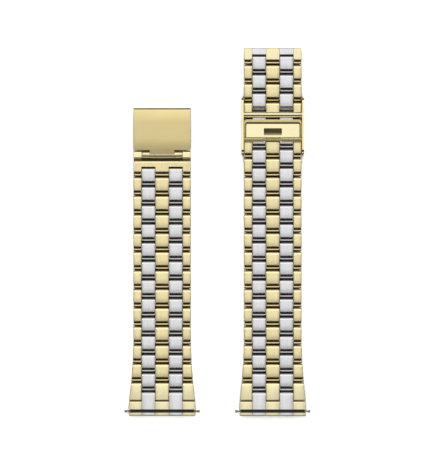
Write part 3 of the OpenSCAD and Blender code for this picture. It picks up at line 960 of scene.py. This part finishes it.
class BRACELET_OT_cover(bpy.types.Operator):
    """Bend the cover plate out of one sheet, with a rolled tongue round its hinge pin"""

    bl_idname = "bracelet.cover"
    bl_label = "Cover plate"

    def execute(self, context):
        sizes = context.scene.bracelet_sizes
        low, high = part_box("cover_plate")
        pin, pin_width, pin_radius = place_of_rod("cover_hinge_pin")
        curl = pin.y - low.y
        barrel_y = pin.y - 0.3 * MM
        self.plate(sizes, low, high, pin, curl, barrel_y)
        end_rounding = 0.12 * MM
        hinge = rod(
            "cover_hinge_pin_new", pin_width, pin_radius - 0.01 * MM, *pin, MANY_SIDES, end_rounding
        )
        smooth(hinge)
        dress(hinge, "Gold turned", "cover_hinge_pin")
        between_knuckles = 2 * (STRAP_HALF - sizes.knuckle_width - CLEARANCE)
        sleeve = rod(
            "cover_sleeve", between_knuckles, curl - 0.04 * MM, *pin, MANY_SIDES, end_rounding
        )
        drill(sleeve, pin_radius + 0.01 * MM, *pin, MANY_SIDES)
        smooth(sleeve)
        dress(sleeve, "Gold turned", "cover_plate")
        # Painted shade: the sleeve's half towards the lugs gets the darker barrel gold
        finish_faces(sleeve, "Gold barrel", lambda face: face.center.y < barrel_y)
        return {"FINISHED"}

    def plate(self, sizes, low, high, pin, curl, barrel_y):
        """The bent sheet with its thickness, a groove across the tongue and its finishes, with painted
        shade in the groove and along its sides.
        """
        x = half_place("short").x
        roll_y = high.y - sizes.cover_roll
        piece = self.bent_sheet(sizes, x, high.x - low.x, high.z, pin, curl, roll_y)
        thicken(piece, sizes.sheet, use_even_offset=True)
        soften(piece, 0.24 * MM, segments=3, angle=50)
        groove_to = pin.y + 0.12 * MM
        groove_floor = pin.z + curl - 0.22 * MM
        reach = sizes.tongue_width / 2 + PAST
        groove_low = (x - reach, barrel_y, groove_floor)
        groove_high = (x + reach, groove_to, high.z + PAST)
        cut(piece, box("groove", groove_low, groove_high))
        smooth(piece, flats=True)
        dress(piece, "Gold satin across", "cover_plate")
        # Painted shade: the curl past the groove gets the darker barrel gold
        finish_faces(piece, "Gold barrel", lambda face: face.center.y < barrel_y - 0.02 * MM)
        # Painted shade: the groove across the tongue gets the dark gold
        across_groove = lambda face: barrel_y - NEAR < face.center.y < groove_to + NEAR
        in_groove = lambda face: across_groove(face) and face.center.z < groove_floor + 0.21 * MM
        finish_faces(piece, "Gold painted shade", in_groove)
        # Painted shade: the rolled free edge facing the clasp gets a darker gold
        finish_faces(piece, "Gold painted edge shade", lambda face: face.center.y > roll_y and face.normal.y > 0.5)
        # Painted shade: the side edges of the sheet get the dark gold as dark outlines
        finish_faces(piece, "Gold painted shade", lambda face: abs(face.normal.x) > 0.12)

    def bent_sheet(self, sizes, x, width, top, pin, curl, roll_y):
        """A flat middle, a rolled free end, a bent plate towards the hinge and a tongue round its pin.

        The arc that leaves the flat middle has the radius that lets it run on into the curl.
        """
        flat_from = pin.y + sizes.cover_flat_from
        flat_to = flat_from + sizes.cover_flat_length
        plate_from = pin.y + THICK / 2 + CLEARANCE
        rise = top - THICK
        bend = (sizes.cover_flat_from**2 + (top - pin.z) ** 2 - curl**2) / (2 * rise)
        bend_z = top - bend
        tongue_angle = math.asin(sizes.cover_flat_from / (bend - curl))
        plate_angle = math.asin((flat_from - plate_from) / bend)
        end_angle = math.asin((roll_y - flat_to) / (bend - sizes.cover_roll))
        roll_z = bend_z + (bend - sizes.cover_roll) * math.cos(end_angle)
        curl_angle = math.radians(285)
        tongue = sizes.tongue_width / 2
        centre = (x, (flat_from + flat_to) / 2, top)
        piece = begin("cover_plate_new", bpy.ops.mesh.primitive_plane_add, size=1, location=centre)
        open_mesh(piece)
        bpy.ops.mesh.select_all(action="SELECT")
        bpy.ops.transform.resize(value=(width, flat_to - flat_from, 1), center_override=centre)
        for side_x in (x - tongue, x + tongue):
            bpy.ops.mesh.select_all(action="SELECT")
            bpy.ops.mesh.bisect(plane_co=(side_x, 0, 0), plane_no=(1, 0, 0))
        self.start_bend(piece, lambda e: middle(e).y > flat_to - NEAR)
        self.bend(flat_to, bend_z, end_angle, 6)
        self.bend(roll_y, roll_z, math.pi / 2 - end_angle, 14)
        self.start_bend(piece, lambda e: middle(e).y < flat_from + NEAR)
        self.bend(flat_from, bend_z, -plate_angle, 5)
        edge_y = flat_from - bend * math.sin(plate_angle) + NEAR
        self.start_bend(piece, lambda e: middle(e).y < edge_y and abs(middle(e).x - x) < tongue - NEAR)
        self.bend(flat_from, bend_z, plate_angle - tongue_angle, 3)
        self.bend(pin.y, pin.z, -curl_angle, 40)
        corner_x = width / 2 - NEAR
        pick(piece, "VERT", lambda v: v.co.y < edge_y and abs(v.co.x - x) > corner_x)
        bpy.ops.mesh.bevel(offset=0.45 * MM, segments=5, affect="VERTICES")
        face_outwards(piece, lambda face: face.calc_area())
        close_mesh()
        return piece

    def start_bend(self, piece, test):
        """Select the edge across the sheet that the next bend goes on from."""
        pick(piece, "EDGE", lambda e: e.is_boundary and span(e).y < HAIR and test(e))

    def bend(self, y, z, angle, steps):
        """Continue the sheet in an arc round a centre, which leaves the arc's end selected."""
        bpy.ops.mesh.spin(
            steps=steps, angle=angle, use_normal_flip=False, center=(0, y, z), axis=(1, 0, 0)
        )


class BRACELET_OT_hook(bpy.types.Operator):
    """Model the hook under the cover"""

    bl_idname = "bracelet.hook"
    bl_label = "Cover hook"

    def execute(self, context):
        low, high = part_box("cover_hook")
        thick = 0.4 * MM
        ring_turn = math.radians(185)
        ring_y = low.y + 0.1 * MM
        ring_z = (low.z + high.z) / 2
        edge = ((low.x + high.x) / 2, ring_y, high.z)
        piece = begin("cover_hook_new", bpy.ops.mesh.primitive_plane_add, size=1, location=edge)
        open_mesh(piece)
        pick(piece, "VERT", lambda v: v.co.y > ring_y)
        bpy.ops.mesh.delete(type="VERT")
        bpy.ops.mesh.select_all(action="SELECT")
        bpy.ops.transform.resize(value=(high.x - low.x, 0, 1), center_override=edge)
        # The resize leaves the edge a rounding error away from the ring's middle line
        edge_y = sum(v.co.y for v in bmesh.from_edit_mesh(piece.data).verts) / 2
        bpy.ops.transform.translate(value=(0, ring_y - edge_y, 0))
        bpy.ops.mesh.spin(steps=28, angle=ring_turn, center=(0, ring_y, ring_z), axis=(1, 0, 0))
        face_outwards(piece, lambda face: face.calc_center_median().z)
        close_mesh()
        thicken(piece, thick)
        unite(piece, box("foot", (low.x, low.y, high.z - thick), high))
        soften(piece, 0.05 * MM, angle=50)
        smooth(piece, flats=True)
        dress(piece, "Gold polished", "cover_hook")
        return {"FINISHED"}


class BRACELET_OT_clamp(bpy.types.Operator):
    """Model the sliding channel with its two walls, the cross bar and the flap's pin"""

    bl_idname = "bracelet.clamp"
    bl_label = "Clamp"

    def execute(self, context):
        sizes = context.scene.bracelet_sizes
        low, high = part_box("clamp_channel")
        left = self.side_wall(sizes, low, high, low.x, low.x)
        right = self.side_wall(sizes, low, high, high.x - sizes.wall, high.x)
        floor_top = low.z + sizes.clamp_floor
        inset_x = 0.3 * MM
        inset_y = 0.4 * MM
        floor_low = (low.x + inset_x, low.y + inset_y, low.z)
        floor_high = (high.x - inset_x, high.y - inset_y, floor_top)
        unite(left, box("floor", floor_low, floor_high))
        channel = named(unite(left, right), "clamp_channel_new")
        soften(channel, 0.1 * MM, segments=3)
        # The flap's pin gets the darker rolled gold, which paints shade
        rods = (("clamp_cross_bar", "Gold bar"), ("flap_hinge_pin", "Gold rolled"))
        for name, finish in rods:
            centre, _, radius = place_of_rod(name)
            drill(channel, radius + 0.01 * MM, *centre, MANY_SIDES)
        smooth(channel, flats=True)
        dress(channel, "Gold polished", "clamp_channel")
        # Painted shade: the floor's top, under the strap, gets the dark gold
        on_floor = lambda face: face.normal.z > 0.9 and face.center.z < floor_top + 0.1 * MM
        finish_faces(channel, "Gold painted shade", on_floor)
        for name, finish in rods:
            centre, width, radius = place_of_rod(name)
            bar = smooth(rod(name + "_new", width, radius, *centre, MANY_SIDES, 0.1 * MM))
            dress(bar, finish, name)
        return {"FINISHED"}

    def side_wall(self, sizes, low, high, x_from, outer_x):
        """A wall with round upper corners and a round outer foot."""
        corner = 1.4 * MM
        foot = 0.3 * MM
        wall = box("wall", (x_from, low.y, low.z), (x_from + sizes.wall, high.y, high.z))
        middle_y = (low.y + high.y) / 2
        at_corner = lambda e: middle(e).z > high.z - NEAR and abs(middle(e).y - middle_y) > MM
        round_edges(wall, at_corner, corner, 12)
        at_foot = lambda e: middle(e).z < low.z + NEAR and abs(middle(e).x - outer_x) < NEAR
        return round_edges(wall, at_foot, foot, 5)


class BRACELET_OT_flap(bpy.types.Operator):
    """Model the lock flap with its slot, its stepped free edge and its rolled barrel"""

    bl_idname = "bracelet.flap"
    bl_label = "Lock flap"

    def execute(self, context):
        sizes = context.scene.bracelet_sizes
        low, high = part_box("lock_flap")
        pin, _, pin_radius = place_of_rod("flap_hinge_pin")
        barrel = pin.y - low.y
        under = low.z + 0.1 * MM
        top = under + sizes.flap_thickness
        x = (low.x + high.x) / 2
        half_width = (high.x - low.x) / 2
        lip_top = top - sizes.lip_step
        lip_from = high.y - sizes.lip_length
        panel_half = half_width - sizes.lip_side
        panel_under = lip_top - 0.2 * MM
        panel_edge = 0.36 * MM
        pit_half = panel_half + 0.12 * MM
        pit_floor = lip_top - 0.14 * MM
        groove_to = lip_from + 0.5 * MM
        plate = self.sheet("lock_flap_new", x, half_width, (pin.y, high.y), (under, lip_top), 0.75 * MM)
        cut(plate, self.sheet("pit", x, pit_half, (low.y, groove_to), (pit_floor, top), 0.85 * MM))
        panel = self.sheet("panel", x, panel_half, (pin.y, lip_from), (panel_under, top), 0.7 * MM)
        on_rim = lambda e: middle(e).z > top - NEAR and middle(e).y > pin.y + 0.1 * MM
        round_edges(panel, on_rim, panel_edge, 6)
        unite(plate, panel)
        unite(plate, rod("roll", high.x - low.x, barrel, x, pin.y, pin.z, MANY_SIDES))
        slot_from = pin.y + 1.25 * MM
        slot_half = sizes.slot_width / 2
        slot_low = (x - slot_half, slot_from, under - PAST)
        slot_high = (x + slot_half, slot_from + sizes.slot_length, top + PAST)
        slot_corner = 0.25 * MM
        slot = box("slot", slot_low, slot_high)
        cut(plate, round_edges(slot, lambda e: span(e).z > MM, slot_corner, 5))
        mouth = slot_half + 0.1 * MM
        mouth_low = (x - mouth, low.y - PAST, low.z - PAST)
        cut(plate, box("mouth", mouth_low, (x + mouth, pin.y + barrel, high.z + PAST)))
        soften(plate, 0.07 * MM, segments=3, angle=35)
        play = 0.05 * MM
        drill(plate, pin_radius + play, x, pin.y, pin.z)
        smooth(plate, flats=True)
        dress(plate, "Gold polished", "lock_flap")
        # Painted shade: the flap's rolled barrel gets the darker gold
        on_barrel = lambda f: f.center.y < pin.y + 0.95 * barrel and abs(f.normal.x) < 0.5
        finish_faces(plate, "Gold rolled", on_barrel)
        on_lip = lambda f: f.normal.z > 0.9 and abs(f.center.z - lip_top) < 0.02 * MM
        finish_faces(plate, "Gold satin across", on_lip)
        # Painted shade: the groove round the raised panel, along the lip, gets the dark gold
        in_reach = lambda f: pin.y + barrel < f.center.y <= groove_to + 0.02 * MM
        below_lip = lambda f: lip_top - 0.15 * MM < f.center.z < lip_top - NEAR
        in_pit = lambda f: in_reach(f) and below_lip(f) and abs(f.center.x - x) <= pit_half + 0.02 * MM
        finish_faces(plate, "Gold painted shade", in_pit)
        self.tongue(sizes, x, slot_from, top, under)
        return {"FINISHED"}

    def sheet(self, name, x, half_width, along, heights, corner):
        """A flat sheet with two round corners at its far end."""
        piece = box(name, (x - half_width, along[0], heights[0]), (x + half_width, along[1], heights[1]))
        at_corner = lambda e: middle(e).y > along[1] - HAIR and abs(middle(e).x - x) > 0.9 * half_width
        return round_edges(piece, at_corner, corner, 8)

    def tongue(self, sizes, x, slot_from, top, under):
        """A sloping tongue pressed down inside the slot, which shades the strap below; its dark gold
        paints the shade in the slot.
        """
        margin = 0.15 * MM
        thick = 0.12 * MM
        shallow = 0.12 * MM
        depth = top - under - shallow - 0.14 * MM
        width = sizes.slot_width + 2 * margin
        reach = sizes.slot_length + 2 * margin
        y_from = slot_from - margin
        centre = (x, y_from + reach / 2, top)
        piece = begin(
            "lock_flap_shade_sheet",
            bpy.ops.mesh.primitive_grid_add,
            x_subdivisions=1,
            y_subdivisions=10,
            size=1,
            location=centre,
        )
        open_mesh(piece)
        bpy.ops.mesh.select_all(action="SELECT")
        bpy.ops.transform.resize(value=(width, reach, 1), center_override=centre)
        close_mesh()
        for vertex in piece.data.vertices:
            share = (vertex.co.y - y_from) / reach
            vertex.co.z = top - shallow - depth * (1 - share**2)
        smooth(thicken(piece, thick))
        # Painted shade: darker gold, darkest on the far half, inside the slot
        dress(piece, "Gold rolled", "lock_flap")
        finish_faces(piece, "Gold painted shade", lambda face: face.center.y > y_from + 0.45 * reach)


class BRACELET_OT_spring_bars(bpy.types.Operator):
    """Turn the tips of the spring bars, wind their inner springs and paint their tubes dark as shade"""

    bl_idname = "bracelet.spring_bars"
    bl_label = "Spring bars"

    def execute(self, context):
        for half in HALVES:
            for side, way in (("left", -1), ("right", 1)):
                self.tip(half, side, way)
                self.spring(half, side, way)
            tube = frame["nodes"][f"{half}_bar_tube"]
            # Painted shadow: the tube gets near-black steel for the shade down in its seam
            tube.data.materials.clear()
            tube.data.materials.append(finish_named("Tube in shadow"))
        return {"FINISHED"}

    def tip(self, half, side, way):
        """Head, thin neck and rounded end, drawn out step by step from one disc."""
        name = f"{half}_bar_tip_{side}"
        low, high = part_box(name)
        centre = (low + high) / 2
        head_x, tip_x = (high.x, low.x) if way < 0 else (low.x, high.x)
        head_radius = (high.z - low.z) / 2
        neck_radius = 0.25 * MM
        end_radius = 0.42 * MM
        disc = 0.2 * MM
        piece = rod(name + "_new", disc, head_radius, head_x + way * disc / 2, centre.y, centre.z)
        open_mesh(piece)
        pick(piece, "FACE", lambda f: f.normal.x * way > 0.9)
        # Each step draws the end face out by a length and then scales it
        steps = (
            (0.6 * MM, 1.0),
            (0.0, neck_radius / head_radius),
            (abs(tip_x - head_x) - 1.6 * MM, 1.0),
            (0.0, end_radius / neck_radius),
            (0.68 * MM, 1.0),
            (0.08 * MM, 0.86),
            (0.04 * MM, 0.62),
        )
        x = head_x + way * disc
        for reach, factor in steps:
            bpy.ops.mesh.extrude_region_move(TRANSFORM_OT_translate={"value": (way * reach, 0, 0)})
            x += way * reach
            if factor != 1.0:
                end = (x, centre.y, centre.z)
                bpy.ops.transform.resize(value=(1, factor, factor), center_override=end)
        bpy.ops.mesh.select_all(action="SELECT")
        bpy.ops.mesh.remove_doubles(threshold=0.0005 * MM)
        bpy.ops.mesh.normals_make_consistent(inside=False)
        close_mesh()
        smooth(piece, 35)
        dress(piece, "Steel turned", name)

    def spring(self, half, side, way):
        """Half of the inner spring, a coil wound from the middle out to its own tip."""
        name = f"{half}_bar_spring"
        low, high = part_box(name)
        centre = (low + high) / 2
        reach = (high.x - low.x) / 2
        wire = 0.1 * MM
        wire_sides = 8
        turns = 6
        start = wire + 0.01 * MM
        place = (way * start, (high.z - low.z) / 2 - wire, 0)
        piece = begin(
            f"{name}_{side}",
            bpy.ops.mesh.primitive_circle_add,
            vertices=wire_sides,
            radius=wire,
            location=place,
        )
        apply_modifier(
            piece,
            "SCREW",
            axis="X",
            angle=way * 2 * math.pi,
            screw_offset=way * (reach - wire - start) / turns,
            iterations=turns,
            steps=16,
            render_steps=16,
        )
        open_mesh(piece)
        pick(piece, "EDGE", lambda e: e.is_boundary)
        bpy.ops.mesh.fill_holes(sides=wire_sides)
        bpy.ops.mesh.select_all(action="SELECT")
        bpy.ops.mesh.normals_make_consistent(inside=False)
        close_mesh()
        smooth(move(piece, *centre), 50)
        dress(piece, "Spring wire", name)
        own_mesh(piece)


class BRACELET_OT_studio(bpy.types.Operator):
    """Set up the pale table, the soft studio light and the camera above"""

    bl_idname = "bracelet.studio"
    bl_label = "Studio"

    def execute(self, context):
        studio = context.scene.bracelet_studio
        self.table(context.scene.bracelet_colours, studio)
        self.light(context, studio)
        self.camera(context, studio)
        context.scene.view_settings.view_transform = "Standard"
        return {"FINISHED"}

    def table(self, colours, studio):
        """A matt table that the camera sees brighter where nothing stands close."""
        table = begin(
            "table",
            bpy.ops.mesh.primitive_grid_add,
            x_subdivisions=4,
            y_subdivisions=4,
            size=12,
            location=(0, 0, -TABLE_DROP),
        )
        finish = bpy.data.materials.new("Pale table")
        finish.use_nodes = True
        tree = finish.node_tree
        tree.nodes.remove(tree.nodes["Principled BSDF"])
        end = tree.nodes["Material Output"]
        matt = node(tree, "ShaderNodeBsdfDiffuse", (0, 0))
        seen = node(tree, "ShaderNodeLightPath", (-800, 200))
        nearness = {"Distance": 6 * MM}
        open_air = node(tree, "ShaderNodeAmbientOcclusion", (-800, -100), nearness, samples=8)
        clear = node(tree, "ShaderNodeMapRange", (-600, -100), {"From Min": 0.38, "From Max": 0.48})
        lifted = node(tree, "ShaderNodeMath", (-430, 50), operation="MULTIPLY")
        link(tree, open_air, "AO", clear, "Value")
        link(tree, clear, "Result", lifted, 0)
        link(tree, seen, "Is Camera Ray", lifted, 1)
        tones = {"A": (*colours.table, 1.0), "B": (*tinted(colours.table, studio.table_gain), 1.0)}
        shade = node(tree, "ShaderNodeMix", (-250, 0), tones, data_type="RGBA")
        link(tree, lifted, "Value", shade, "Factor")
        link(tree, shade, "Result", matt, "Color")
        link(tree, matt, "BSDF", end, "Surface")
        table.data.materials.append(finish)

    def light(self, context, studio):
        """A soft light dome with a dark strip past the lug ends and one at either side."""
        world = bpy.data.worlds.new("Soft dome")
        context.scene.world = world
        world.use_nodes = True
        tree = world.node_tree
        glow = tree.nodes["Background"]
        glow.inputs["Strength"].default_value = studio.brightness
        where = node(tree, "ShaderNodeTexCoord", (-1500, 0))
        parts = node(tree, "ShaderNodeSeparateXYZ", (-1300, 0))
        along = node(tree, "ShaderNodeMath", (-1100, 150), operation="ARCTAN2")
        size = node(tree, "ShaderNodeMath", (-1100, -150), operation="ABSOLUTE")
        aside = node(tree, "ShaderNodeMath", (-950, -150), operation="ARCSINE")
        link(tree, where, "Generated", parts, "Vector")
        link(tree, parts, "Y", along, 0)
        link(tree, parts, "Z", along, 1)
        link(tree, parts, "X", size, 0)
        link(tree, size, "Value", aside, 0)
        darkest = node(tree, "ShaderNodeMath", (-100, 0), operation="MAXIMUM")
        strips = ((STRIP_ALONG, STRIP_ASIDE, 150), (SIDES_ALONG, SIDES_ASIDE, -300))
        for entry, (stops_along, stops_aside, y) in enumerate(strips):
            dark = node(tree, "ShaderNodeMath", (-300, y), operation="MULTIPLY")
            link(tree, self.level(tree, along, 180, stops_along, y), "Color", dark, 0)
            link(tree, self.level(tree, aside, 90, stops_aside, y - 200), "Color", dark, 1)
            link(tree, dark, "Value", darkest, entry)
        left = node(tree, "ShaderNodeMath", (50, 0), {0: 1.0}, operation="SUBTRACT")
        link(tree, darkest, "Value", left, 1)
        whole = {"Factor": 1.0}
        both = node(tree, "ShaderNodeMix", (200, 200), whole, data_type="RGBA", blend_type="MULTIPLY")
        link(tree, self.level(tree, along, 180, LIGHT_ALONG, 400), "Color", both, "A")
        link(tree, left, "Value", both, "B")
        link(tree, both, "Result", glow, "Color")
        backdrop = node(tree, "ShaderNodeBackground", (200, -200), {"Color": (1.0, 1.0, 1.0, 1.0)})
        seen = node(tree, "ShaderNodeLightPath", (200, 500))
        either = node(tree, "ShaderNodeMixShader", (500, 0))
        link(tree, seen, "Is Camera Ray", either, "Fac")
        link(tree, glow, "Background", either, 1)
        link(tree, backdrop, "Background", either, 2)
        link(tree, either, "Shader", tree.nodes["World Output"], "Surface")

    def level(self, tree, angle, most, stops, y):
        """A brightness that follows an angle between minus and plus the most, in degrees."""
        turn = {"From Min": -math.radians(most), "From Max": math.radians(most)}
        share = node(tree, "ShaderNodeMapRange", (-750, y), turn)
        ramp = node(tree, "ShaderNodeValToRGB", (-580, y))
        link(tree, angle, "Value", share, "Value")
        link(tree, share, "Result", ramp, "Fac")
        band = ramp.color_ramp
        while len(band.elements) < len(stops):
            band.elements.new(0.5)
        for element, (degrees, level) in zip(band.elements, stops):
            element.position = (degrees + most) / (2 * most)
            element.color = (level, level, level, 1.0)
        return ramp

    def camera(self, context, studio):
        """Straight down on the bracelet, with the picture's height measured at half its thickness."""
        bpy.ops.object.select_all(action="DESELECT")
        place = (*PICTURE_MIDDLE, studio.camera_height)
        bpy.ops.object.camera_add(location=place, rotation=(0, 0, 0))
        camera = context.object
        camera.name = "camera"
        camera.data.sensor_width = SENSOR_MM
        camera.data.lens = SENSOR_MM * (studio.camera_height - 2 * MM) / studio.view_height
        camera.data.clip_start = 0.01
        camera.data.clip_end = 50.0
        context.scene.camera = camera


STEPS = (
    BRACELET_OT_studio,
    BRACELET_OT_gold_rows,
    BRACELET_OT_steel_rows,
    BRACELET_OT_lug_ends,
    BRACELET_OT_end_links,
    BRACELET_OT_cover,
    BRACELET_OT_hook,
    BRACELET_OT_clamp,
    BRACELET_OT_flap,
    BRACELET_OT_spring_bars,
)


class BRACELET_PT_panel(bpy.types.Panel):
    """Lists the bracelet's sizes and its pieces"""

    bl_idname = "BRACELET_PT_panel"
    bl_label = "Bracelet"
    bl_space_type = "VIEW_3D"
    bl_region_type = "UI"
    bl_category = "Bracelet"

    def draw(self, context):
        scene = context.scene
        for group in (scene.bracelet_sizes, scene.bracelet_colours, scene.bracelet_studio):
            column = self.layout.column(align=True)
            for name in group.__annotations__:
                column.prop(group, name)
        for step in STEPS:
            self.layout.operator(step.bl_idname)


GROUPS = (
    ("bracelet_sizes", BraceletSizes),
    ("bracelet_colours", BraceletColours),
    ("bracelet_studio", BraceletStudio),
)


def register():
    for name, group in GROUPS:
        bpy.utils.register_class(group)
        setattr(bpy.types.Scene, name, bpy.props.PointerProperty(type=group))
    for step in STEPS:
        bpy.utils.register_class(step)
    bpy.utils.register_class(BRACELET_PT_panel)


def unregister():
    bpy.utils.unregister_class(BRACELET_PT_panel)
    for step in reversed(STEPS):
        bpy.utils.unregister_class(step)
    for name, group in reversed(GROUPS):
        delattr(bpy.types.Scene, name)
        bpy.utils.unregister_class(group)


def main():
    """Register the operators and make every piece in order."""
    register()
    for step in STEPS:
        area, name = step.bl_idname.split(".")
        getattr(getattr(bpy.ops, area), name)()


if __name__ == "__main__":
    main()
